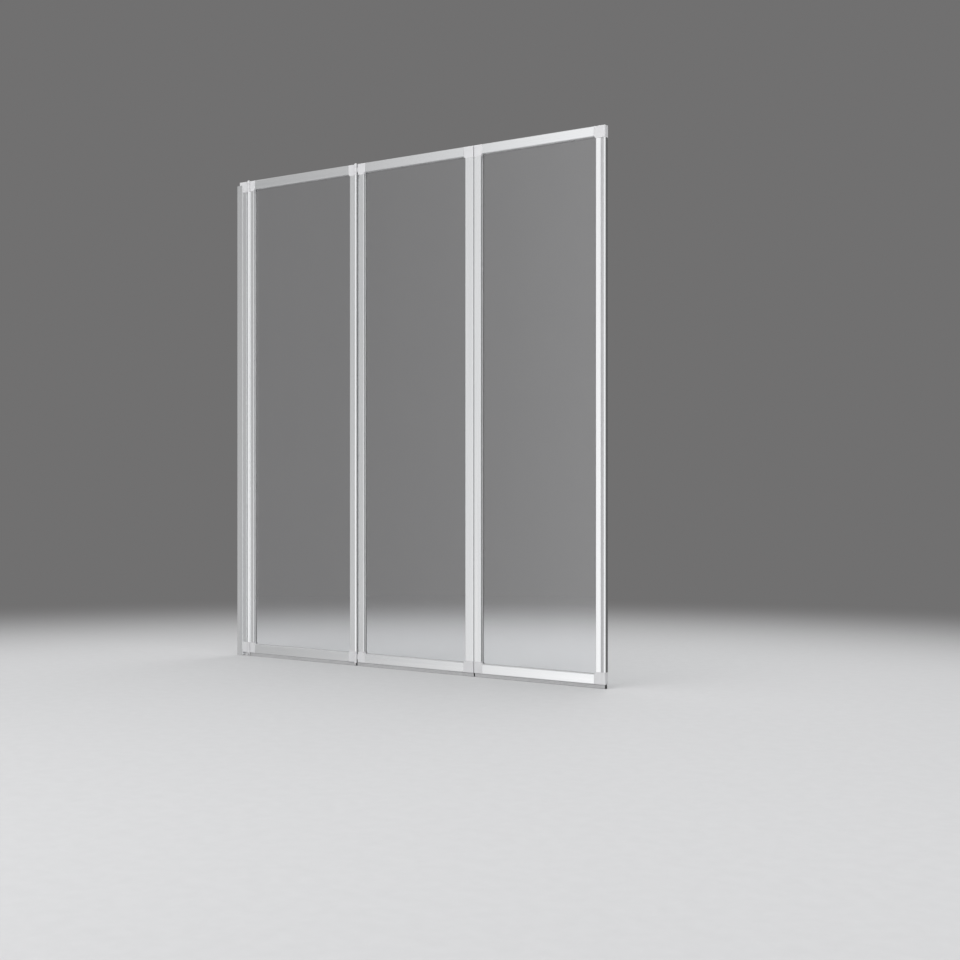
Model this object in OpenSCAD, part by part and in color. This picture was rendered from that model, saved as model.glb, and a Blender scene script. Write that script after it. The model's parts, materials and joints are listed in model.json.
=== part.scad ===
// Folding bath screen: three framed glass panels on a wall channel, joined by three upright hinges.
// X runs from the wall to the free end, +Y points into the bath and Z = 0 is the rim of the bath.

/* [Screen] */
// height of the panels above the rim of the bath
screen_h = 1400; // [1000:10:1800]
// from the wall to the axis of the wall hinge
wall_gap = 46; // [45:0.5:60]
// panel 1, from the wall hinge's axis to the outer fold's axis
panel_1_w = 409; // [300:1:600]
// panel 2, from the outer fold's axis to the inner fold's axis
panel_2_w = 402; // [300:1:600]
// panel 3, from the inner fold's axis to the free end
panel_3_w = 399; // [300:1:600]

/* [Frame] */
// depth of every frame profile, front to back
frame_t = 16; // [15:0.5:20]
// width of the stile next to the wall, from the axis
wall_stile_w = 18.5; // [18.5:0.5:30]
// width of the other stiles that carry a hinge bead, from the axis
bead_stile_w = 22.5; // [22:0.5:30]
// width of a stile with a hinge cup, from the axis
cup_stile_w = 27.5; // [27:0.5:35]
// width of the stile at the free end
end_stile_w = 27; // [26:0.5:35]
// height of the top and bottom rails
rail_h = 24.5; // [23:0.5:35]
// wall of the hollow profiles
profile_wall = 1.4; // [1.2:0.1:1.6]
// radius of the long edges of the frame
edge_r = 1.2; // [0.6:0.1:1.5]

/* [Corner blocks] */
// reach of a corner block past its stile, along the rail
block_lap = 5; // [3:0.5:10]
// reach of a corner block past its rail, along the stile
block_drop = 6; // [4:0.5:10]
// how far a corner block stands out from the face of the frame
block_proud = 0.3; // [0.1:0.1:0.5]
// length of a block's plug inside a profile
plug_l = 20; // [15:1:40]
// gap around a block's plug
plug_fit = 0.15; // [0.1:0.05:0.25]

/* [Glazing] */
// thickness of the glass
glass_t = 4; // [3:0.5:5]
// depth of the glass edge inside the frame
glass_bite = 6.5; // [5:0.5:7]
// thickness of the glazing gasket
gasket_t = 1.2; // [0.8:0.1:1.6]
// width of gasket that shows beside the frame
gasket_lip = 1.5; // [0.5:0.5:3]
// how far the glass sits behind the middle of the frame
glass_back = 3; // [0:0.5:3]

/* [Hinges] */
// radius of the hinge bead
bead_r = 4; // [3.6:0.1:4.4]
// distance of a hinge axis in front of the face it folds towards
axis_out = 1.5; // [1:0.1:2]
// gap between two neighbouring stiles
hinge_gap = 2.2; // [2:0.1:4]
// radius of the hollow in a corner block around its neighbour's bead
cup_r = 7; // [5:0.1:7.5]
// radius of the hollow in a profile around its neighbour's bead
profile_cup_r = 11; // [7.5:0.1:11.4]
// radius of the rounded lip between a profile's hollow and its face
lip_r = 1; // [0.6:0.1:2]
// radius of a hinge pin
pin_r = 2; // [1.6:0.1:2.2]
// radial clearance of a pin in the block that it holds
pin_press = 0.02; // [0.01:0.01:0.03]
// radial clearance of a pin in the block that turns on it
pin_run = 0.06; // [0.03:0.01:0.1]
// gap between two knuckles
knuckle_gap = 0.3; // [0.2:0.1:0.6]
// height of the middle knuckle
knuckle_h = 13.5; // [8:0.5:16]
// height of a pin's head
pin_head_h = 2.6; // [1.5:0.1:4]

/* [Wall channel] */
// depth of the wall channel, out from the wall
channel_d = 21; // [16:1:24]
// thickness of the channel's legs
channel_leg = 1.5; // [1.2:0.1:2]
// thickness of the channel's base
channel_base = 2; // [1.5:0.1:3]
// how far the channel stops below the top of the panels
channel_drop = 10; // [5:1:30]
// gap beside the carrier in the channel
channel_play = 0.5; // [0.3:0.1:0.8]
// from the wall to the end of the carrier
carrier_back = 8; // [7:0.5:12]
// radius of a wall screw hole
wall_hole_r = 2.75; // [2:0.05:3]
// distance between the outermost wall screw holes
wall_holes_outer = 1240; // [850:10:1600]
// distance between the two middle wall screw holes
wall_holes_inner = 420; // [300:10:600]
// from each end of the screen to the nearest carrier screw
carrier_screw_inset = 160; // [100:10:300]
// radius of the foot under the carrier
foot_r = 3.5; // [2.5:0.5:6]
// height of the foot under the carrier
foot_pad_h = 8; // [3:0.5:8]

/* [Bottom seal] */
// height of the seal under the frame
seal_h = 10; // [8:0.5:16]
// depth of the seal, front to back
seal_w = 10; // [9.6:0.1:10.4]
// width of the seal's root in the frame
seal_root_w = 4; // [3:0.5:5]
// height of the seal's root
seal_root_h = 2; // [1.5:0.1:2]
// wall of the hollow seal
seal_wall = 1; // [0.8:0.1:1.4]
// thickness of the plug's face at each end of the seal
seal_plug_t = 1; // [0.6:0.2:3]

/* [Free edge] */
// width of the strip groove in the end stile
groove_w = 8.5; // [6:0.5:9]
// depth of the strip groove
groove_d = 2.2; // [1.5:0.1:2.4]
// width of the lip outside the strip groove
edge_lip = 4; // [3.2:0.1:5]
// radius of the outer edges of the end stile
nose_r = 3; // [1.5:0.1:3]
// thickness of the strip in the groove
strip_t = 1.2; // [0.8:0.1:1.4]

/* [Screws] */
// radius of a frame screw
frame_screw_r = 1.5; // [1.2:0.05:1.5]
// radius of a frame screw's countersunk head
frame_screw_head_r = 2.7; // [2.3:0.1:2.7]
// radius of a carrier screw
carrier_screw_r = 2; // [1.6:0.1:2.2]
// radius of a carrier screw's head
carrier_screw_head_r = 3.8; // [3:0.1:4]

/* [Hidden] */
axis_a = wall_gap;
axis_b = axis_a + panel_1_w;
axis_c = axis_b + panel_2_w;
free_end = axis_c + panel_3_w;
half_t = frame_t / 2;
half_gap = hinge_gap / 2;
block_h = rail_h + block_drop;
frame_z0 = seal_h;
stile_z0 = frame_z0 + block_h;
stile_l = screen_h - seal_h - 2 * block_h;
slot_w = glass_t + 2 * gasket_t;
slot_d = glass_bite + gasket_t + 0.3;
past_bead = bead_r - axis_out + 0.1;
thick_wall = profile_wall + 0.4;
rail_floor = seal_root_h + 0.1 + profile_wall;
rail_roof = rail_h - slot_d - profile_wall;
knuckle_z = (block_h - knuckle_h) / 2;
lip_overlap = 0.05;
arm_w = 3.8;
arm_root = 1.6;
channel_half = half_t + channel_play + channel_leg;
channel_h = screen_h - channel_drop;
carrier_w = axis_a - carrier_back;
carrier_mid = 22;
carrier_screw_x = 14;
carrier_screw_l = 9;
screw_head_h = 2.4;
carrier_screw_z = [carrier_screw_inset, screen_h / 2, screen_h - carrier_screw_inset];
cover_cap_r = 6;
cover_cap_h = 4;
foot_back = 15;
foot_stem_r = 1.5;
foot_stem_in = 6;
screw_back = 10;
frame_screw_l = 10;
pin_dome_r = 6;
seal_groove = 1.3;
seal_spigot_l = 8;
gasket_edge_t = 0.4;

// Each panel as [left axis, left width, left kind, left face, right axis, right width, right kind, right face].
// The face is the one that the hinge folds towards.
BEAD = 1;
CUP = 2;
END = 3;
FRONT = 1;
BACK = -1;
panels = [
    [axis_a, wall_stile_w, BEAD, FRONT, axis_b, bead_stile_w, BEAD, FRONT],
    [axis_b, cup_stile_w, CUP, FRONT, axis_c, cup_stile_w, CUP, BACK],
    [axis_c, bead_stile_w, BEAD, BACK, free_end, end_stile_w, END, FRONT],
];

// ---- colours ----

module satin_metal() {
    color([0.80, 0.81, 0.82]) children();
}

module pale_plastic() {
    color([0.84, 0.84, 0.85]) children();
}

module grey_seal() {
    color([0.64, 0.65, 0.66]) children();
}

module black_rubber() {
    color([0.08, 0.08, 0.08]) children();
}

module bright_steel() {
    color([0.72, 0.73, 0.75]) children();
}

// ---- plain helpers ----

// The waste outside a rounded corner, with the corner at the origin and the material towards +X and +Y.
module corner_waste(r) {
    difference() {
        translate([-1, -1]) square(1 + r);
        translate([r, r]) circle(r, $fn = 48);
    }
}

// A rectangle with all four corners rounded.
module round_rect(x0, y0, x1, y1, r) {
    difference() {
        translate([x0, y0]) square([x1 - x0, y1 - y0]);
        translate([x0, y0]) corner_waste(r);
        translate([x1, y0]) rotate(90) corner_waste(r);
        translate([x1, y1]) rotate(180) corner_waste(r);
        translate([x0, y1]) rotate(270) corner_waste(r);
    }
}

// Puts a shape drawn from a hinge axis (X into the panel, Y from the hinged face) in its place.
module at_axis(x, towards, face) {
    translate([x, 0, 0]) mirror([towards < 0 ? 1 : 0, 0, 0]) mirror([0, face < 0 ? 1 : 0, 0])
        translate([0, -half_t, 0]) children();
}

// Turns a shape that stands on Z = 0 into the bottom of the frame, or upside down into its top.
module at_level(top) {
    translate([0, 0, top ? screen_h : frame_z0]) mirror([0, 0, top ? 1 : 0]) children();
}

// ---- cross-sections, drawn from a hinge axis ----

// The solid outline of a stile that carries a bead, without the bead. The corner next to the bead stays square.
module bead_outline(w, proud) {
    difference() {
        translate([half_gap, -proud]) square([w - half_gap, frame_t + 2 * proud]);
        translate([w, -proud]) rotate(90) corner_waste(edge_r);
        translate([w, frame_t + proud]) rotate(180) corner_waste(edge_r);
        translate([half_gap, frame_t + proud]) rotate(270) corner_waste(edge_r);
    }
}

// The waste that rounds the lip of a profile's hollow: its arc crosses the face and the hollow at a small angle.
module lip_waste() {
    v = lip_r - lip_overlap;
    u = sqrt(pow(profile_cup_r + lip_r - lip_overlap, 2) - pow(v + axis_out, 2));
    share = 0.6;
    start = [u * share, (v + axis_out) * share - axis_out];
    difference() {
        polygon([start, [start[0], -1], [u, -1], [u, v]]);
        translate([u, v]) circle(lip_r, $fn = 64);
    }
}

// The solid outline of a stile with a hollow for its neighbour's bead. A block's hollow is the tighter one.
module cup_outline(w, proud) {
    block = proud > 0;
    difference() {
        round_rect(half_gap, -proud, w, frame_t + proud, edge_r);
        translate([0, -axis_out]) circle(block ? cup_r : profile_cup_r, $fn = 96);
        if (!block) lip_waste();
    }
}

// The solid outline of the stile at the free end, drawn from the end itself.
module end_outline(w, proud) {
    difference() {
        translate([0, -proud]) square([w, frame_t + 2 * proud]);
        translate([0, -proud]) corner_waste(nose_r);
        translate([0, frame_t + proud]) rotate(270) corner_waste(nose_r);
        translate([w, -proud]) rotate(90) corner_waste(edge_r);
        translate([w, frame_t + proud]) rotate(180) corner_waste(edge_r);
    }
}

module outline(kind, w, proud) {
    if (kind == BEAD) bead_outline(w, proud);
    if (kind == CUP) cup_outline(w, proud);
    if (kind == END) end_outline(w, proud);
}

// Where the hollow for a corner plug lies in each stile: [u0, v0, u1, v1].
function chamber(kind, w) =
    let (inner = w - slot_d - profile_wall)
    kind == BEAD ? [half_gap + profile_wall, past_bead, inner, frame_t - profile_wall]
    : kind == CUP ? [profile_cup_r + profile_wall, profile_wall, inner, frame_t - profile_wall]
    : [thick_wall, groove_d + profile_wall, inner, frame_t - thick_wall];

module chamber_2d(kind, w, gap) {
    c = chamber(kind, w);
    translate([c[0] + gap, c[1] + gap]) square([c[2] - c[0] - 2 * gap, c[3] - c[1] - 2 * gap]);
}

// The depth at which the glass slot starts, from the hinged face.
function slot_v(face) = half_t + face * glass_back - slot_w / 2;

module glass_slot_2d(w, face) {
    translate([w - slot_d, slot_v(face)]) square([slot_d + 1, slot_w]);
}

module bead_2d() {
    difference() {
        translate([0, -axis_out]) circle(bead_r, $fn = 64);
        translate([0, -axis_out]) circle(pin_r, $fn = 32);
    }
}

module stile_section(kind, w, face) {
    difference() {
        outline(kind, w, 0);
        chamber_2d(kind, w, 0);
        glass_slot_2d(w, face);
        if (kind == BEAD) translate([0, -axis_out]) circle(bead_r - 0.5, $fn = 64);
        if (kind == END) translate([edge_lip, -1]) square([groove_w, groove_d + 1]);
    }
    if (kind == BEAD) bead_2d();
}

// ---- profiles ----

// The countersunk hole for a frame screw through the bath side of a profile.
module screw_hole(x, z) {
    translate([x, half_t + 0.001, z]) rotate([90, 0, 0]) {
        cylinder(r1 = frame_screw_head_r + 0.05, r2 = frame_screw_r + 0.05, h = profile_wall, $fn = 32);
        cylinder(r = frame_screw_r + 0.02, h = frame_screw_l + 1, $fn = 32);
    }
}

function panel_side(p, right) = right ? [p[4], -1, p[5], p[6], p[7]] : [p[0], 1, p[1], p[2], p[3]];

// Where a frame screw goes through one stile and into the plug, as world X.
function screw_x(s) =
    let (c = chamber(s[3], s[2]))
    s[0] + s[1] * (c[0] + c[2]) / 2;

function rail_end(s) = s[0] + s[1] * (s[2] + block_lap);

module stile(p, right) {
    s = panel_side(p, right);
    satin_metal() difference() {
        translate([0, 0, stile_z0]) at_axis(s[0], s[1], s[4])
            linear_extrude(stile_l) stile_section(s[3], s[2], s[4]);
        for (z = [stile_z0 + screw_back, stile_z0 + stile_l - screw_back]) screw_hole(screw_x(s), z);
    }
}

// A rail lies along X. Its section is drawn with X as depth and Y as height from its outer edge.
module rail_section(grooved) {
    difference() {
        round_rect(-half_t, 0, half_t, rail_h, edge_r);
        translate([-half_t + profile_wall, rail_floor])
            square([frame_t - 2 * profile_wall, rail_roof - rail_floor]);
        translate([glass_back - slot_w / 2, rail_h - slot_d]) square([slot_w, slot_d + 1]);
        if (grooved) translate([-seal_root_w / 2 - 0.05, -1]) square([seal_root_w + 0.1, seal_root_h + 1.1]);
    }
}

module rail(p, top) {
    x0 = rail_end(panel_side(p, false));
    x1 = rail_end(panel_side(p, true));
    screw_z = (rail_floor + rail_roof) / 2;
    satin_metal() difference() {
        at_level(top) translate([x0, 0, 0]) rotate([90, 0, 90])
            linear_extrude(x1 - x0) rail_section(!top);
        for (x = [x0 + screw_back, x1 - screw_back])
            screw_hole(x, top ? screen_h - screw_z : frame_z0 + screw_z);
    }
}

// ---- corner blocks ----

// The face of a block, X along the rail and Y up the stile, with a bevel in its inner corner.
module block_face(u0, w) {
    polygon([[u0, 0], [w + block_lap, 0], [w + block_lap, rail_h], [w, block_h], [u0, block_h]]);
}

// The block's body: its face, its plan outline and its rounded outer edge together.
module block_body(kind, w, reach) {
    u0 = kind == END ? 0 : half_gap;
    intersection() {
        translate([0, frame_t + 1, 0]) rotate([90, 0, 0]) linear_extrude(frame_t + 2) children();
        translate([0, 0, -1]) linear_extrude(block_h + 2) outline(kind, reach, block_proud);
        translate([u0 - 1, 0, 0]) rotate([90, 0, 90]) linear_extrude(reach + 2 - u0)
            round_rect(-block_proud, 0, frame_t + block_proud, block_h + 10, edge_r);
    }
}

module axis_cylinder(r, z0, h) {
    translate([0, -axis_out, z0]) cylinder(r = r, h = h, $fn = 64);
}

// A block's knuckle arm, from the wall around the pin towards the block at 45 degrees.
module knuckle_arm(z0, h) {
    start = (pin_r + bead_r) / 2;
    translate([0, -axis_out, z0]) rotate([0, 0, 45]) translate([start, -arm_w / 2, 0])
        cube([cup_r + arm_root - start, arm_w, h]);
}

module hinge_block_shape(kind, w, reach) {
    difference() {
        union() {
            block_body(kind, w, reach) children();
            if (kind == BEAD) axis_cylinder(bead_r, 0, block_h);
            if (kind == CUP) axis_cylinder(bead_r, knuckle_z, knuckle_h);
            if (kind == CUP) knuckle_arm(knuckle_z, knuckle_h);
        }
        if (kind == BEAD) axis_cylinder(bead_r + 0.4, knuckle_z - knuckle_gap, knuckle_h + 2 * knuckle_gap);
        if (kind == BEAD) axis_cylinder(pin_r + pin_press, -1, block_h + 2);
        if (kind == CUP) axis_cylinder(pin_r + pin_run, -1, block_h + 2);
    }
}

// One corner block, drawn at the bottom of its panel.
module corner_shape(kind, w, face) {
    difference() {
        hinge_block_shape(kind, w, w + block_lap) block_face(kind == END ? 0 : half_gap, w);
        translate([w - slot_d, slot_v(face), rail_h - slot_d])
            cube([slot_d + block_lap + 1, slot_w, block_h]);
        translate([-1, half_t - seal_root_w / 2 - 0.05, -1])
            cube([w + block_lap + 2, seal_root_w + 0.1, seal_root_h + 1.1]);
    }
    translate([0, 0, block_h]) linear_extrude(plug_l) chamber_2d(kind, w, plug_fit);
    translate([w + block_lap, profile_wall + plug_fit, rail_floor + plug_fit])
        cube([plug_l, frame_t - 2 * profile_wall - 2 * plug_fit, rail_roof - rail_floor - 2 * plug_fit]);
}

module corner(p, top, right) {
    s = panel_side(p, right);
    screw_z = (rail_floor + rail_roof) / 2;
    pale_plastic() difference() {
        at_level(top) at_axis(s[0], s[1], s[4]) corner_shape(s[3], s[2], s[4]);
        screw_hole(rail_end(s) + s[1] * screw_back, top ? screen_h - screw_z : frame_z0 + screw_z);
        screw_hole(screw_x(s), top ? screen_h - block_h - screw_back : stile_z0 + screw_back);
    }
}

// ---- glazing and seals ----

function inner_edge(s) = s[0] + s[1] * s[2];

module glass(p) {
    x0 = inner_edge(panel_side(p, false)) - glass_bite;
    x1 = inner_edge(panel_side(p, true)) + glass_bite;
    z0 = frame_z0 + rail_h - glass_bite;
    z1 = screen_h - rail_h + glass_bite;
    color([0.78, 0.84, 0.84, 0.35]) translate([x0, glass_back - glass_t / 2, z0])
        cube([x1 - x0, glass_t, z1 - z0]);
}

// The gasket's section, from the frame's inner edge towards the middle of the glass (X), with a lip that tapers.
module gasket_section() {
    reach = glass_bite + gasket_t;
    lip_v = glass_t / 2 + gasket_edge_t;
    difference() {
        polygon([
            [-reach, -slot_w / 2], [0, -slot_w / 2], [gasket_lip, -lip_v],
            [gasket_lip, lip_v], [0, slot_w / 2], [-reach, slot_w / 2],
        ]);
        translate([-glass_bite, -glass_t / 2]) square([glass_bite + gasket_lip + 1, glass_t]);
    }
}

// One strip of gasket along Z, with both ends mitred.
module gasket_strip(strip_l) {
    reach = glass_bite + gasket_t;
    inset = reach + gasket_lip;
    gap = 0.1;
    intersection() {
        linear_extrude(strip_l) gasket_section();
        rotate([90, 0, 0]) linear_extrude(slot_w + 2, center = true) polygon([
            [-reach, gap], [gasket_lip, inset + gap], [gasket_lip, strip_l - inset - gap], [-reach, strip_l - gap],
        ]);
    }
}

module gasket(p) {
    x0 = inner_edge(panel_side(p, false));
    x1 = inner_edge(panel_side(p, true));
    z0 = frame_z0 + rail_h;
    z1 = screen_h - rail_h;
    reach = glass_bite + gasket_t;
    grey_seal() translate([0, glass_back, 0]) {
        translate([x0, 0, z0 - reach]) gasket_strip(z1 - z0 + 2 * reach);
        translate([x1, 0, z0 - reach]) mirror([1, 0, 0]) gasket_strip(z1 - z0 + 2 * reach);
        translate([x0 - reach, 0, z0]) mirror([0, 0, 1]) rotate([0, 90, 0]) gasket_strip(x1 - x0 + 2 * reach);
        translate([x0 - reach, 0, z1]) rotate([0, 90, 0]) gasket_strip(x1 - x0 + 2 * reach);
    }
}

// The seal's outline, with X as depth and Y as height: two grooves along each side.
module seal_outline() {
    h = seal_w / 2;
    side = [
        [h - 1.4, 0], [h - 0.4, seal_h * 0.16], [h - 0.4, seal_h * 0.30],
        [h - seal_groove, seal_h * 0.36], [h - seal_groove, seal_h * 0.44], [h - 0.4, seal_h * 0.50],
        [h - 0.4, seal_h * 0.72], [h - seal_groove, seal_h * 0.78], [h - seal_groove, seal_h * 0.84],
        [h, seal_h * 0.90], [h, seal_h],
    ];
    polygon([
        for (q = side) q,
        for (i = [len(side) - 1:-1:0]) [-side[i][0], side[i][1]],
    ]);
}

// The seal's hollow, made smaller on every side by gap.
module seal_hollow(gap) {
    u = seal_w / 2 - seal_groove - seal_wall - gap;
    translate([-u, seal_wall + gap]) square([2 * u, seal_h - 2.5 * seal_wall - 2 * gap]);
}

function seal_end(s) = s[0] + s[1] * (s[3] == END ? 1.5 : half_gap);

module bottom_seal(p) {
    x0 = seal_end(panel_side(p, false)) + seal_plug_t;
    x1 = seal_end(panel_side(p, true)) - seal_plug_t;
    grey_seal() translate([x0, 0, 0]) rotate([90, 0, 90]) linear_extrude(x1 - x0) difference() {
        union() {
            seal_outline();
            translate([-seal_root_w / 2, seal_h - 0.5]) square([seal_root_w, seal_root_h + 0.5]);
        }
        seal_hollow(0);
    }
}

// A plug's face covers the seal's end, and its spigot fills the hollow behind it.
module seal_plug() {
    rotate([90, 0, 90]) {
        linear_extrude(seal_plug_t) seal_outline();
        translate([0, 0, seal_plug_t]) linear_extrude(seal_spigot_l) seal_hollow(0.1);
    }
}

module seal_plugs(p) {
    black_rubber() {
        translate([seal_end(panel_side(p, false)), 0, 0]) seal_plug();
        translate([seal_end(panel_side(p, true)), 0, 0]) mirror([1, 0, 0]) seal_plug();
    }
}

module edge_strip() {
    grey_seal() translate([0, 0, stile_z0]) at_axis(free_end, -1, FRONT)
        translate([edge_lip, groove_d - strip_t, 0]) cube([groove_w, strip_t, stile_l]);
}

// ---- screws and pins ----

// A countersunk frame screw with a cross recess, driven in from the bath side.
module frame_screw(x, z) {
    translate([x, half_t, z]) rotate([90, 0, 0]) difference() {
        union() {
            cylinder(r1 = frame_screw_head_r, r2 = frame_screw_r, h = profile_wall, $fn = 32);
            cylinder(r = frame_screw_r, h = frame_screw_l, $fn = 32);
        }
        for (a = [0, 90]) rotate([0, 0, a]) translate([-1.5, -0.3, -0.1]) cube([3, 0.6, 0.9]);
    }
}

module frame_screws(p) {
    rail_z = (rail_floor + rail_roof) / 2;
    bright_steel() for (right = [false, true]) {
        s = panel_side(p, right);
        for (z = [frame_z0 + rail_z, screen_h - rail_z]) frame_screw(rail_end(s) + s[1] * screw_back, z);
        for (z = [stile_z0 + screw_back, stile_z0 + stile_l - screw_back]) frame_screw(screw_x(s), z);
    }
}

// A hinge pin, drawn for the bottom of the frame: its domed head is below Z = 0.
module pin_shape() {
    axis_cylinder(pin_r, 0, block_h - 1);
    translate([0, -axis_out, 0]) mirror([0, 0, 1]) rotate_extrude($fn = 64) intersection() {
        square([bead_r, pin_head_h]);
        translate([0, pin_head_h - pin_dome_r]) circle(pin_dome_r, $fn = 96);
    }
}

module hinge_pins(x, face) {
    bright_steel() for (top = [false, true]) at_level(top) at_axis(x, 1, face) pin_shape();
}

// ---- wall side ----

module wall_channel() {
    hole_z = [-wall_holes_outer / 2, -wall_holes_inner / 2, wall_holes_inner / 2, wall_holes_outer / 2];
    satin_metal() difference() {
        linear_extrude(channel_h) difference() {
            translate([0, -channel_half]) square([channel_d, 2 * channel_half]);
            translate([channel_base, -half_t - channel_play]) square([channel_d, frame_t + 2 * channel_play]);
            translate([channel_d, -channel_half]) rotate(90) corner_waste(0.7);
            translate([channel_d, channel_half]) rotate(180) corner_waste(0.7);
        }
        for (z = hole_z) translate([-1, 0, channel_h / 2 + z]) rotate([0, 90, 0])
            cylinder(r = wall_hole_r, h = channel_base + 2, $fn = 32);
        for (z = carrier_screw_z) translate([carrier_screw_x, half_t, z]) rotate([-90, 0, 0])
            cylinder(r = carrier_screw_r + 0.02, h = channel_play + channel_leg + 1, $fn = 32);
    }
}

// The carrier's two hollows, from the hinge axis: [from, to] along the profile.
function carrier_cells() = [
    [profile_cup_r + profile_wall, carrier_mid - profile_wall / 2],
    [carrier_mid + profile_wall / 2, carrier_w - profile_wall],
];

module carrier_cells_2d(gap) {
    for (c = carrier_cells()) translate([c[0] + gap, profile_wall + gap])
        square([c[1] - c[0] - 2 * gap, frame_t - 2 * profile_wall - 2 * gap]);
}

module carrier_profile() {
    rib_u = carrier_w - 6;
    satin_metal() difference() {
        translate([0, 0, stile_z0]) at_axis(axis_a, -1, FRONT) linear_extrude(stile_l) {
            difference() {
                cup_outline(carrier_w, 0);
                carrier_cells_2d(0);
            }
            for (v = [-channel_play, frame_t - 0.4]) translate([rib_u, v]) square([2, channel_play + 0.4]);
        }
        for (z = carrier_screw_z) translate([carrier_screw_x, half_t + 1, z]) rotate([90, 0, 0])
            cylinder(r = carrier_screw_r + 0.02, h = 1 + profile_wall + 4, $fn = 32);
    }
}

module carrier_cap(top) {
    pale_plastic() at_level(top) at_axis(axis_a, -1, FRONT) difference() {
        union() {
            hinge_block_shape(CUP, carrier_w, carrier_w)
                translate([half_gap, 0]) square([carrier_w - half_gap, block_h]);
            translate([0, 0, block_h]) linear_extrude(plug_l) carrier_cells_2d(plug_fit);
        }
        if (!top) translate([foot_back, half_t, -1]) cylinder(r = foot_stem_r + 0.02, h = foot_stem_in + 1, $fn = 48);
    }
}

// The foot between the carrier and the rim: a pad on a stem that plugs into the bottom cap.
module carrier_foot() {
    pale_plastic() translate([axis_a - foot_back, 0, 0]) {
        cylinder(r = foot_r, h = foot_pad_h, $fn = 48);
        cylinder(r = foot_stem_r, h = frame_z0 + foot_stem_in - 0.2, $fn = 48);
    }
}

module carrier_screws() {
    bright_steel() for (z = carrier_screw_z) translate([carrier_screw_x, channel_half, z]) {
        rotate([90, 0, 0]) cylinder(r = carrier_screw_r, h = carrier_screw_l, $fn = 32);
        rotate([-90, 0, 0]) difference() {
            cylinder(r = carrier_screw_head_r, h = screw_head_h, $fn = 32);
            for (a = [0, 90]) rotate([0, 0, a]) translate([-2, -0.4, screw_head_h / 2]) cube([4, 0.8, screw_head_h]);
        }
    }
}

// A thin domed cap over each carrier screw.
module screw_cover_caps() {
    dome_r = 10;
    pale_plastic() for (z = carrier_screw_z) translate([carrier_screw_x, channel_half, z]) rotate([-90, 0, 0])
        rotate_extrude($fn = 64) difference() {
            intersection() {
                square([cover_cap_r, cover_cap_h]);
                translate([0, cover_cap_h - dome_r]) circle(dome_r, $fn = 128);
            }
            translate([0, -1]) square([carrier_screw_head_r + 0.4, screw_head_h + 1.4]);
        }
}

// ---- the whole screen ----

wall_channel();
carrier_profile();
carrier_cap(true);  // carrier_top_cap
carrier_cap(false);  // carrier_bottom_cap
carrier_foot();
carrier_screws();
screw_cover_caps();
hinge_pins(axis_a, FRONT);  // wall_hinge_pins
hinge_pins(axis_b, FRONT);  // outer_fold_pins
hinge_pins(axis_c, BACK);  // inner_fold_pins

stile(panels[0], false);  // panel_1_left_stile
stile(panels[0], true);  // panel_1_right_stile
rail(panels[0], true);  // panel_1_top_rail
rail(panels[0], false);  // panel_1_bottom_rail
corner(panels[0], true, false);  // panel_1_top_left_corner
corner(panels[0], true, true);  // panel_1_top_right_corner
corner(panels[0], false, false);  // panel_1_bottom_left_corner
corner(panels[0], false, true);  // panel_1_bottom_right_corner
glass(panels[0]);  // panel_1_glass
gasket(panels[0]);  // panel_1_gasket
bottom_seal(panels[0]);  // panel_1_bottom_seal
seal_plugs(panels[0]);  // panel_1_seal_plugs
frame_screws(panels[0]);  // panel_1_frame_screws

stile(panels[1], false);  // panel_2_left_stile
stile(panels[1], true);  // panel_2_right_stile
rail(panels[1], true);  // panel_2_top_rail
rail(panels[1], false);  // panel_2_bottom_rail
corner(panels[1], true, false);  // panel_2_top_left_corner
corner(panels[1], true, true);  // panel_2_top_right_corner
corner(panels[1], false, false);  // panel_2_bottom_left_corner
corner(panels[1], false, true);  // panel_2_bottom_right_corner
glass(panels[1]);  // panel_2_glass
gasket(panels[1]);  // panel_2_gasket
bottom_seal(panels[1]);  // panel_2_bottom_seal
seal_plugs(panels[1]);  // panel_2_seal_plugs
frame_screws(panels[1]);  // panel_2_frame_screws

stile(panels[2], false);  // panel_3_left_stile
stile(panels[2], true);  // panel_3_right_stile
rail(panels[2], true);  // panel_3_top_rail
rail(panels[2], false);  // panel_3_bottom_rail
corner(panels[2], true, false);  // panel_3_top_left_corner
corner(panels[2], true, true);  // panel_3_top_right_corner
corner(panels[2], false, false);  // panel_3_bottom_left_corner
corner(panels[2], false, true);  // panel_3_bottom_right_corner
glass(panels[2]);  // panel_3_glass
gasket(panels[2]);  // panel_3_gasket
bottom_seal(panels[2]);  // panel_3_bottom_seal
seal_plugs(panels[2]);  // panel_3_seal_plugs
frame_screws(panels[2]);  // panel_3_frame_screws
edge_strip();  // panel_3_edge_strip
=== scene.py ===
"""Folding bath screen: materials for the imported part, a floor, soft lamps and the photograph's camera."""

import json
import math

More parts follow.
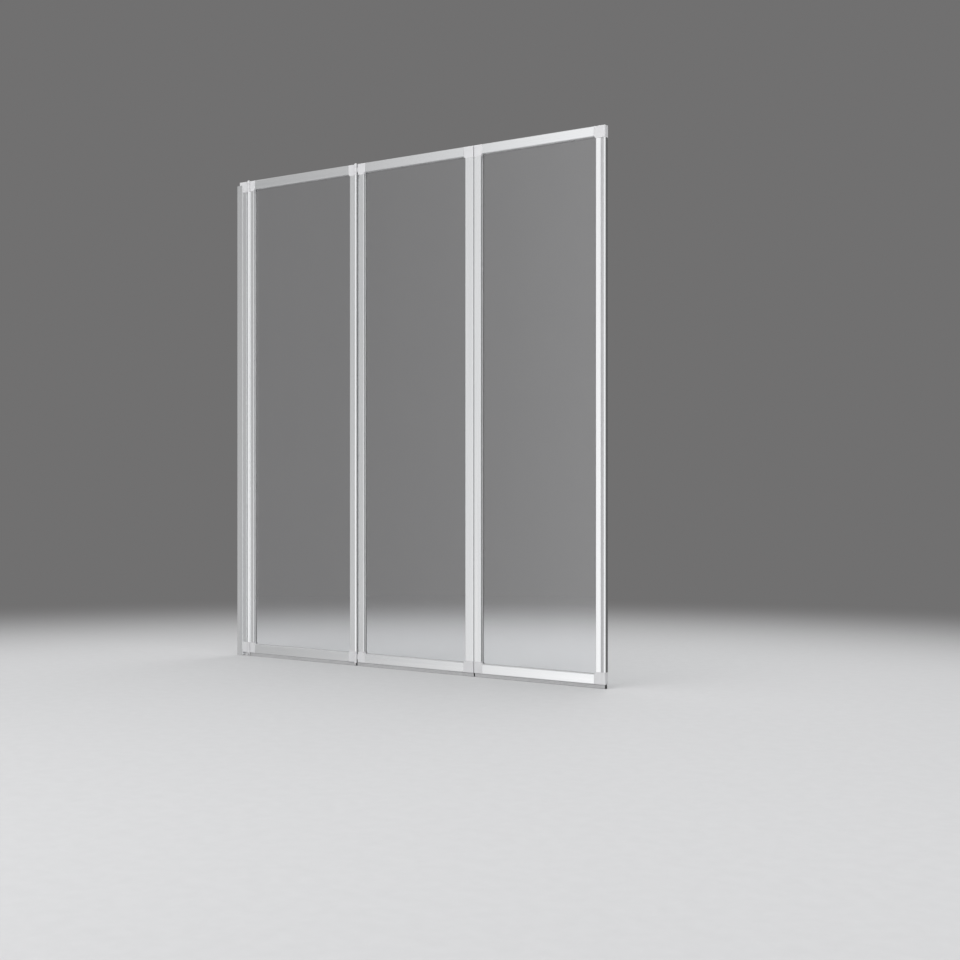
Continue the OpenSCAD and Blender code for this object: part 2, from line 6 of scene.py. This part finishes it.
import bmesh
import bpy
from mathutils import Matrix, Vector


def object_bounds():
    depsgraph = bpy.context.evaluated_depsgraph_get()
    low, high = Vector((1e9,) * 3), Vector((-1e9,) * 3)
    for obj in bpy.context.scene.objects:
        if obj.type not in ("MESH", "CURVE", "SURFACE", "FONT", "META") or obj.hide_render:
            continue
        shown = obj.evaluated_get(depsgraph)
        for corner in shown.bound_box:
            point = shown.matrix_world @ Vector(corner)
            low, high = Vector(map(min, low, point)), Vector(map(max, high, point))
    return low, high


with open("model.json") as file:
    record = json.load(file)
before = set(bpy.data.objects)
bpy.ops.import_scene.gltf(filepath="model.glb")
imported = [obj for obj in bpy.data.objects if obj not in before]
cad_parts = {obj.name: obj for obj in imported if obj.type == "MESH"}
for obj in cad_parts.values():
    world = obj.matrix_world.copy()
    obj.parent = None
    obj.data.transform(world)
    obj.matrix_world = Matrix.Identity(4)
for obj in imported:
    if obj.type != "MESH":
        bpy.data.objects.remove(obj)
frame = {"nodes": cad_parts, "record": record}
cad_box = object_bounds()

NODES = frame["nodes"]
SLOT_OF = {part["node"]: part["material_slot"] for part in frame["record"]["subparts"]}
SCREEN_MIDDLE = (cad_box[0] + cad_box[1]) / 2

scene = bpy.context.scene

# ---- camera: solved from the photograph's vanishing points ----

CAMERA_AT = (3.0861, -3.1645, 0.5186)
CAMERA_TURN = (math.radians(90.0), 0.0, math.radians(34.98))
CAMERA_LENS = 55.0
CAMERA_SENSOR = 36.0
CAMERA_REACH = 100.0

camera_data = bpy.data.cameras.new("photo_camera")
camera_data.lens = CAMERA_LENS
camera_data.sensor_width = CAMERA_SENSOR
camera_data.clip_end = CAMERA_REACH
camera = bpy.data.objects.new("photo_camera", camera_data)
camera.location = CAMERA_AT
camera.rotation_euler = CAMERA_TURN
scene.collection.objects.link(camera)
bpy.context.scene.camera = camera


# ---- small node helpers ----

# The middle part of a noise's range, which spread and tint map to a finish's values.
NOISE_LOW = 0.3
NOISE_HIGH = 0.7
BEVEL_SAMPLES = 4
# Between no bounce and one bounce, to tell the two apart.
HALF_A_BOUNCE = 0.5
# Bump depths are given in millionths of a metre, and rounded edges in thousandths.
MICRON = 0.000001
MILLIMETRE = 0.001


def new_material(name):
    """A material with an empty tree apart from a Principled shader on its output."""
    material = bpy.data.materials.new(name)
    material.use_nodes = True
    tree = material.node_tree
    tree.nodes.clear()
    output = tree.nodes.new("ShaderNodeOutputMaterial")
    shader = tree.nodes.new("ShaderNodeBsdfPrincipled")
    tree.links.new(shader.outputs["BSDF"], output.inputs["Surface"])
    return material, tree, shader, output


def noise(tree, scale, detail=3.0, roughness=0.55, shift=(0.0, 0.0, 0.0)):
    """Noise in the object's own metres. scale is features per metre along X, Y and Z."""
    place = tree.nodes.new("ShaderNodeTexCoord")
    mapping = tree.nodes.new("ShaderNodeMapping")
    mapping.inputs["Location"].default_value = shift
    mapping.inputs["Scale"].default_value = scale
    texture = tree.nodes.new("ShaderNodeTexNoise")
    texture.inputs["Scale"].default_value = 1.0
    texture.inputs["Detail"].default_value = detail
    texture.inputs["Roughness"].default_value = roughness
    tree.links.new(place.outputs["Object"], mapping.inputs["Vector"])
    tree.links.new(mapping.outputs["Vector"], texture.inputs["Vector"])
    return texture.outputs["Fac"]


def evenly(features):
    """A noise scale with as many features per metre each way."""
    return (features, features, features)


def by_axis(across, along, axis):
    """A noise scale in features per metre across and along X or Z, and an even one for any other axis."""
    if axis == "X":
        return (along, across, across)
    if axis == "Z":
        return (across, across, along)
    return evenly(across)


def map_range(tree, value, start, end, low=0.0, high=1.0, curve="LINEAR"):
    """Maps the values from start to end to the numbers from low to high, and holds the ends beyond."""
    node = tree.nodes.new("ShaderNodeMapRange")
    node.interpolation_type = curve
    node.inputs["From Min"].default_value = start
    node.inputs["From Max"].default_value = end
    node.inputs["To Min"].default_value = low
    node.inputs["To Max"].default_value = high
    tree.links.new(value, node.inputs["Value"])
    return node.outputs["Result"]


def spread(tree, value, low, high):
    """Maps the middle of a noise to the numbers from low to high."""
    return map_range(tree, value, NOISE_LOW, NOISE_HIGH, low, high)


def tint(tree, value, dark, light):
    """Maps the middle of a noise to the colours from dark to light."""
    node = tree.nodes.new("ShaderNodeValToRGB")
    node.color_ramp.elements[0].position = NOISE_LOW
    node.color_ramp.elements[0].color = (*dark, 1.0)
    node.color_ramp.elements[1].position = NOISE_HIGH
    node.color_ramp.elements[1].color = (*light, 1.0)
    tree.links.new(value, node.inputs["Fac"])
    return node.outputs["Color"]


def bump(tree, height, depth, edge=0.0, under=None):
    """A bump of the given depth in metres, on edges that are rounded by the given radius."""
    node = tree.nodes.new("ShaderNodeBump")
    node.inputs["Strength"].default_value = 1.0
    node.inputs["Distance"].default_value = depth
    tree.links.new(height, node.inputs["Height"])
    if edge:
        bevel = tree.nodes.new("ShaderNodeBevel")
        bevel.samples = BEVEL_SAMPLES
        bevel.inputs["Radius"].default_value = edge
        tree.links.new(bevel.outputs["Normal"], node.inputs["Normal"])
    if under:
        tree.links.new(under, node.inputs["Normal"])
    return node.outputs["Normal"]


def calculate(tree, operation, first, second, clamp=False):
    """The result of a math node. second is a number or a socket."""
    node = tree.nodes.new("ShaderNodeMath")
    node.operation = operation
    node.use_clamp = clamp
    tree.links.new(first, node.inputs[0])
    if isinstance(second, float):
        node.inputs[1].default_value = second
    else:
        tree.links.new(second, node.inputs[1])
    return node.outputs["Value"]


def mix_shaders(tree, share, first, second):
    """The first shader where share is 0, and the second where it is 1."""
    node = tree.nodes.new("ShaderNodeMixShader")
    tree.links.new(share, node.inputs["Fac"])
    tree.links.new(first, node.inputs[1])
    tree.links.new(second, node.inputs[2])
    return node.outputs["Shader"]


def was_mirrored(tree, path):
    """1 for a ray that was mirrored before. Is Glossy Ray won't do: it is also 1 after a pane of glass."""
    return calculate(tree, "GREATER_THAN", path.outputs["Glossy Depth"], HALF_A_BOUNCE)


# ---- materials ----

ALUMINIUM_DARK = (0.79, 0.80, 0.81)
ALUMINIUM_LIGHT = (0.84, 0.845, 0.85)
ALUMINIUM_ROUGHNESS = (0.15, 0.23)
PLASTIC_IOR = 1.49
RUBBER_IOR = 1.5
GLASS_IOR = 1.5
GLASS_DARK = (0.942, 0.950, 0.964)
GLASS_LIGHT = (0.960, 0.968, 0.980)
GLASS_ROUGHNESS = (0.0, 0.010)
# The share of a lamp's light that passes each face of a pane.
GLASS_SHADOW = (0.93, 0.95, 0.945)


def satin_aluminium(name, axis):
    """Anodised aluminium with the fine die lines of an extrusion along X or Z."""
    material, tree, shader, _ = new_material(name)
    die_lines = noise(tree, by_axis(across=900.0, along=2.5, axis=axis), detail=4.0, roughness=0.7)
    streaks = noise(tree, by_axis(across=60.0, along=1.2, axis=axis), detail=2.0, shift=(3.1, 1.7, 0.4))
    grain = noise(tree, evenly(1400.0), detail=2.0)
    tree.links.new(tint(tree, streaks, ALUMINIUM_DARK, ALUMINIUM_LIGHT), shader.inputs["Base Color"])
    tree.links.new(spread(tree, die_lines, *ALUMINIUM_ROUGHNESS), shader.inputs["Roughness"])
    fine = bump(tree, grain, depth=4 * MICRON, edge=0.4 * MILLIMETRE)
    tree.links.new(bump(tree, die_lines, depth=10 * MICRON, under=fine), shader.inputs["Normal"])
    shader.inputs["Metallic"].default_value = 1.0
    return material


def moulded_plastic(name, dark, light, roughness, texture_depth):
    """Injection-moulded plastic: a fine spark-eroded texture and a little uneven colour."""
    material, tree, shader, _ = new_material(name)
    cloud = noise(tree, evenly(28.0), detail=3.0)
    spark = noise(tree, evenly(1900.0), detail=3.0, roughness=0.6)
    tree.links.new(tint(tree, cloud, dark, light), shader.inputs["Base Color"])
    tree.links.new(spread(tree, spark, *roughness), shader.inputs["Roughness"])
    tree.links.new(bump(tree, spark, depth=texture_depth, edge=0.5 * MILLIMETRE), shader.inputs["Normal"])
    shader.inputs["IOR"].default_value = PLASTIC_IOR
    return material


def extruded_rubber(name, dark, light, axis="none", roughness=(0.5, 0.68)):
    """Soft extruded PVC or rubber: faint drawn lines, a dull skin and dust in the colour."""
    material, tree, shader, _ = new_material(name)
    lines = noise(tree, by_axis(across=700.0, along=5.0, axis=axis), detail=3.0)
    dust = noise(tree, evenly(150.0), detail=4.0, roughness=0.65, shift=(0.7, 0.2, 0.9))
    tree.links.new(tint(tree, dust, dark, light), shader.inputs["Base Color"])
    tree.links.new(spread(tree, lines, *roughness), shader.inputs["Roughness"])
    tree.links.new(bump(tree, lines, depth=30 * MICRON, edge=0.3 * MILLIMETRE), shader.inputs["Normal"])
    shader.inputs["IOR"].default_value = RUBBER_IOR
    return material


def turned_steel(name, dark, light, roughness):
    """Turned and brushed steel: rings across the pin's length."""
    material, tree, shader, _ = new_material(name)
    rings = noise(tree, by_axis(across=120.0, along=3200.0, axis="Z"), detail=3.0, roughness=0.6)
    tarnish = noise(tree, evenly(90.0), detail=3.0, shift=(0.3, 0.8, 0.5))
    tree.links.new(tint(tree, tarnish, dark, light), shader.inputs["Base Color"])
    tree.links.new(spread(tree, rings, *roughness), shader.inputs["Roughness"])
    tree.links.new(bump(tree, rings, depth=8 * MICRON, edge=0.2 * MILLIMETRE), shader.inputs["Normal"])
    shader.inputs["Metallic"].default_value = 1.0
    return material


def clear_glass(name):
    """Clear safety glass with a faint veil in its tint and gloss. Lamps shine through it."""
    material, tree, shader, output = new_material(name)
    veil = noise(tree, by_axis(across=9.0, along=5.0, axis="Z"), detail=5.0, roughness=0.6)
    roller_wave = noise(tree, by_axis(across=3.0, along=14.0, axis="Z"), detail=1.0, shift=(0.2, 0.4, 0.6))
    tree.links.new(tint(tree, veil, GLASS_DARK, GLASS_LIGHT), shader.inputs["Base Color"])
    tree.links.new(spread(tree, veil, *GLASS_ROUGHNESS), shader.inputs["Roughness"])
    tree.links.new(bump(tree, roller_wave, depth=20 * MICRON), shader.inputs["Normal"])
    shader.inputs["Transmission Weight"].default_value = 1.0
    shader.inputs["IOR"].default_value = GLASS_IOR
    clear = tree.nodes.new("ShaderNodeBsdfTransparent")
    clear.inputs["Color"].default_value = (*GLASS_SHADOW, 1.0)
    shadow = tree.nodes.new("ShaderNodeLightPath").outputs["Is Shadow Ray"]
    mixed = mix_shaders(tree, shadow, shader.outputs["BSDF"], clear.outputs["BSDF"])
    tree.links.new(mixed, output.inputs["Surface"])
    return material


upright_metal = satin_aluminium("frame_metal_upright", "Z")
level_metal = satin_aluminium("frame_metal_level", "X")
FINISHES = {
    "corner_plastic": moulded_plastic(
        "corner_plastic",
        dark=(0.62, 0.62, 0.63),
        light=(0.67, 0.67, 0.68),
        roughness=(0.24, 0.34),
        texture_depth=12 * MICRON,
    ),
    "cover_cap": moulded_plastic(
        "cover_cap",
        dark=(0.62, 0.62, 0.63),
        light=(0.66, 0.66, 0.67),
        roughness=(0.16, 0.24),
        texture_depth=6 * MICRON,
    ),
    "clear_glass": clear_glass("clear_glass"),
    "glazing_gasket": extruded_rubber(
        "glazing_gasket",
        dark=(0.43, 0.43, 0.435),
        light=(0.48, 0.48, 0.485),
    ),
    "bottom_seal": extruded_rubber(
        "bottom_seal",
        dark=(0.46, 0.46, 0.465),
        light=(0.53, 0.53, 0.535),
        axis="X",
        roughness=(0.38, 0.52),
    ),
    # The plugs' near-black is painted shade: it stands for the shaded hollow inside each seal's open end.
    "seal_plug": extruded_rubber(
        "seal_plug",
        dark=(0.010, 0.010, 0.010),
        light=(0.020, 0.020, 0.021),
    ),
    "edge_strip": extruded_rubber(
        "edge_strip",
        dark=(0.42, 0.42, 0.43),
        light=(0.48, 0.48, 0.49),
        axis="Z",
        roughness=(0.42, 0.55),
    ),
    "hinge_pin": turned_steel(
        "hinge_pin",
        dark=(0.70, 0.70, 0.71),
        light=(0.78, 0.78, 0.79),
        roughness=(0.20, 0.32),
    ),
    "screw_steel": turned_steel(
        "screw_steel",
        dark=(0.64, 0.64, 0.65),
        light=(0.72, 0.72, 0.73),
        roughness=(0.18, 0.28),
    ),
}


def finish_of(node):
    """The material of a CAD node: metal takes the one whose lines follow the profile."""
    slot = SLOT_OF[node]
    if slot != "frame_metal":
        return FINISHES[slot]
    return level_metal if node.endswith("_rail") else upright_metal


for node, piece in NODES.items():
    material = finish_of(node)
    for material_slot in piece.material_slots:
        material_slot.material = material


# ---- world: a plain grey background, and a soft studio that is only seen mirrored ----

BACKDROP = (0.164, 0.162, 0.162)
# What dull surfaces receive from all around, as a grey and how much bluer it is.
AMBIENT = 0.55
AMBIENT_BLUE = 1.01
STUDIO_BLUE = 1.005
# Brightness of the studio's walls by compass angle, in degrees from +X towards +Y.
STUDIO = [
    (0, 1.05), (15, 0.85), (32, 0.56), (45, 0.40), (51, 0.35), (55.5, 0.18), (60, 0.10), (66, 0.08),
    (90, 0.20), (118, 0.42), (128, 0.35), (136, 0.33), (150, 0.44), (206, 0.50), (221, 0.47),
    (226, 0.47), (229, 0.53), (231, 0.61), (235, 0.85), (239, 1.25), (243, 1.29), (250, 1.17),
    (262, 1.00), (292, 0.96), (315, 1.08), (330, 1.20), (360, 1.05),
]
# No brightness in the list above may be over this one.
STUDIO_PEAK = 1.3
# Heights are the upward part of a ray's direction, from -1 straight down to 1 straight up.
# The walls grow slightly darker from their foot to their head, as a share of their brightness.
WALL_FOOT = 1.07
WALL_FOOT_AT = -0.3
WALL_HEAD = 0.88
WALL_HEAD_AT = 0.5
CEILING = 0.78
CEILING_FROM = 0.30
CEILING_TO = 0.55
GROUND = 0.62
GROUND_FROM = -0.16
GROUND_TO = -0.40


def cool_grey(level, blue):
    """A grey whose blue is stronger by the given factor."""
    return (level, level, level * blue)


def background(tree, colour):
    """A background of one colour at strength 1."""
    node = tree.nodes.new("ShaderNodeBackground")
    node.inputs["Color"].default_value = (*colour, 1.0)
    return node.outputs["Background"]


def studio_walls(tree, direction):
    """The ring of soft brightness around the screen, by the compass angle of a ray's direction."""
    angle = calculate(tree, "ARCTAN2", direction["Y"], direction["X"])
    turns = calculate(tree, "DIVIDE", angle, 2 * math.pi)
    share_of_turn = calculate(tree, "FLOORED_MODULO", turns, 1.0)
    ring = tree.nodes.new("ShaderNodeValToRGB")
    ramp = ring.color_ramp
    ramp.interpolation = "LINEAR"
    ramp.elements[0].position = 0.0
    ramp.elements[1].position = 1.0
    for degrees, _ in STUDIO[1:-1]:
        ramp.elements.new(degrees / 360.0)
    for element, (_, brightness) in zip(ramp.elements, STUDIO):
        element.color = (*cool_grey(brightness / STUDIO_PEAK, STUDIO_BLUE), 1.0)
    foot = STUDIO_PEAK * WALL_FOOT
    head = STUDIO_PEAK * WALL_HEAD
    strength = map_range(tree, direction["Z"], WALL_FOOT_AT, WALL_HEAD_AT, foot, head)
    walls = tree.nodes.new("ShaderNodeBackground")
    tree.links.new(share_of_turn, ring.inputs["Fac"])
    tree.links.new(ring.outputs["Color"], walls.inputs["Color"])
    tree.links.new(strength, walls.inputs["Strength"])
    return walls.outputs["Background"]


def mirrored_studio(tree):
    """The walls, with the ceiling above them and the ground below."""
    place = tree.nodes.new("ShaderNodeTexCoord")
    parts = tree.nodes.new("ShaderNodeSeparateXYZ")
    tree.links.new(place.outputs["Generated"], parts.inputs["Vector"])
    direction = parts.outputs
    upwards = map_range(tree, direction["Z"], CEILING_FROM, CEILING_TO, curve="SMOOTHSTEP")
    downwards = map_range(tree, direction["Z"], GROUND_FROM, GROUND_TO, curve="SMOOTHSTEP")
    walls = studio_walls(tree, direction)
    ceiling = background(tree, cool_grey(CEILING, STUDIO_BLUE))
    ground = background(tree, cool_grey(GROUND, STUDIO_BLUE))
    over_ground = mix_shaders(tree, upwards, walls, ceiling)
    return mix_shaders(tree, downwards, over_ground, ground)


def studio_world():
    """The backdrop seen straight or through glass, the studio in a mirror, and ambient grey elsewhere."""
    world = bpy.data.worlds.new("studio")
    world.use_nodes = True
    tree = world.node_tree
    tree.nodes.clear()
    path = tree.nodes.new("ShaderNodeLightPath")
    mirrored = was_mirrored(tree, path)
    camera_ray = path.outputs["Is Camera Ray"]
    straight = calculate(tree, "MAXIMUM", camera_ray, path.outputs["Is Transmission Ray"])
    # A ray that was mirrored keeps seeing the studio, also past a pane of glass.
    direct = calculate(tree, "SUBTRACT", straight, mirrored, clamp=True)
    ambient = background(tree, cool_grey(AMBIENT, AMBIENT_BLUE))
    indirect = mix_shaders(tree, mirrored, ambient, mirrored_studio(tree))
    surroundings = mix_shaders(tree, direct, indirect, background(tree, BACKDROP))
    output = tree.nodes.new("ShaderNodeOutputWorld")
    tree.links.new(surroundings, output.inputs["Surface"])
    return world


scene.world = studio_world()

# ---- floor: pale near the screen, and the background's own colour where it meets the horizon ----

FLOOR_RADIUS = 14.0
FLOOR_SIDES = 96
# How far the floor lies under the screen, so that the two don't share a plane.
FLOOR_GAP = 0.2 * MILLIMETRE
FLOOR_DARK = (0.60, 0.602, 0.608)
FLOOR_LIGHT = (0.62, 0.622, 0.628)
FLOOR_ROUGHNESS = 0.85
FLOOR_SPECULAR = 0.15
# The floor fades to the backdrop's colour between these two distances from a place before the screen.
FADE_AT = (1.7, -1.7, 0.0)
FADE_FROM = 2.1
FADE_TO = 4.6


def floor_material():
    """A matt, finely speckled floor that takes shadows and isn't seen in mirroring surfaces."""
    material, tree, shader, output = new_material("floor")
    speckle = noise(tree, evenly(35.0), detail=4.0)
    tree.links.new(tint(tree, speckle, FLOOR_DARK, FLOOR_LIGHT), shader.inputs["Base Color"])
    shader.inputs["Roughness"].default_value = FLOOR_ROUGHNESS
    shader.inputs["Specular IOR Level"].default_value = FLOOR_SPECULAR
    far = tree.nodes.new("ShaderNodeEmission")
    far.inputs["Color"].default_value = (*BACKDROP, 1.0)
    place = tree.nodes.new("ShaderNodeNewGeometry")
    away = tree.nodes.new("ShaderNodeVectorMath")
    away.operation = "DISTANCE"
    away.inputs[1].default_value = FADE_AT
    tree.links.new(place.outputs["Position"], away.inputs[0])
    fade = map_range(tree, away.outputs["Value"], FADE_FROM, FADE_TO, curve="SMOOTHERSTEP")
    seen = mix_shaders(tree, fade, shader.outputs["BSDF"], far.outputs["Emission"])
    clear = tree.nodes.new("ShaderNodeBsdfTransparent")
    path = tree.nodes.new("ShaderNodeLightPath")
    mixed = mix_shaders(tree, was_mirrored(tree, path), seen, clear.outputs["BSDF"])
    tree.links.new(mixed, output.inputs["Surface"])
    return material


floor_mesh = bpy.data.meshes.new("floor")
disc = bmesh.new()
bmesh.ops.create_circle(disc, cap_ends=True, segments=FLOOR_SIDES, radius=FLOOR_RADIUS)
disc.to_mesh(floor_mesh)
disc.free()
floor = bpy.data.objects.new("floor", floor_mesh)
floor.location = (SCREEN_MIDDLE.x, SCREEN_MIDDLE.y, cad_box[0].z - FLOOR_GAP)
floor_mesh.materials.append(floor_material())
scene.collection.objects.link(floor)

# ---- lamps ----

# Each lamp's name, its place, the length of its sides and its watts.
LAMPS = [
    ("front_lamp", (0.3, -3.8, 1.9), 2.6, 66.0),
    ("side_lamp", (4.2, -1.3, 1.7), 2.4, 28.0),
    ("top_lamp", (0.6, -0.4, 3.4), 3.0, 36.0),
    ("back_lamp", (0.4, 3.6, 1.8), 2.6, 40.0),
]


def area_lamp(name, place, side, watts):
    """A soft lamp aimed at the screen's middle, which lights the screen but isn't seen or mirrored."""
    data = bpy.data.lights.new(name, "AREA")
    data.shape = "RECTANGLE"
    data.size = side
    data.size_y = side
    data.energy = watts
    lamp = bpy.data.objects.new(name, data)
    lamp.location = place
    reach = [a - p for a, p in zip(SCREEN_MIDDLE, place)]
    yaw = math.atan2(-reach[0], reach[1])
    pitch = math.atan2(math.hypot(reach[0], reach[1]), -reach[2])
    lamp.rotation_euler = (pitch, 0.0, yaw)
    lamp.visible_glossy = False
    lamp.visible_transmission = False
    lamp.visible_camera = False
    scene.collection.objects.link(lamp)


for lamp in LAMPS:
    area_lamp(*lamp)

scene.view_settings.view_transform = "Standard"
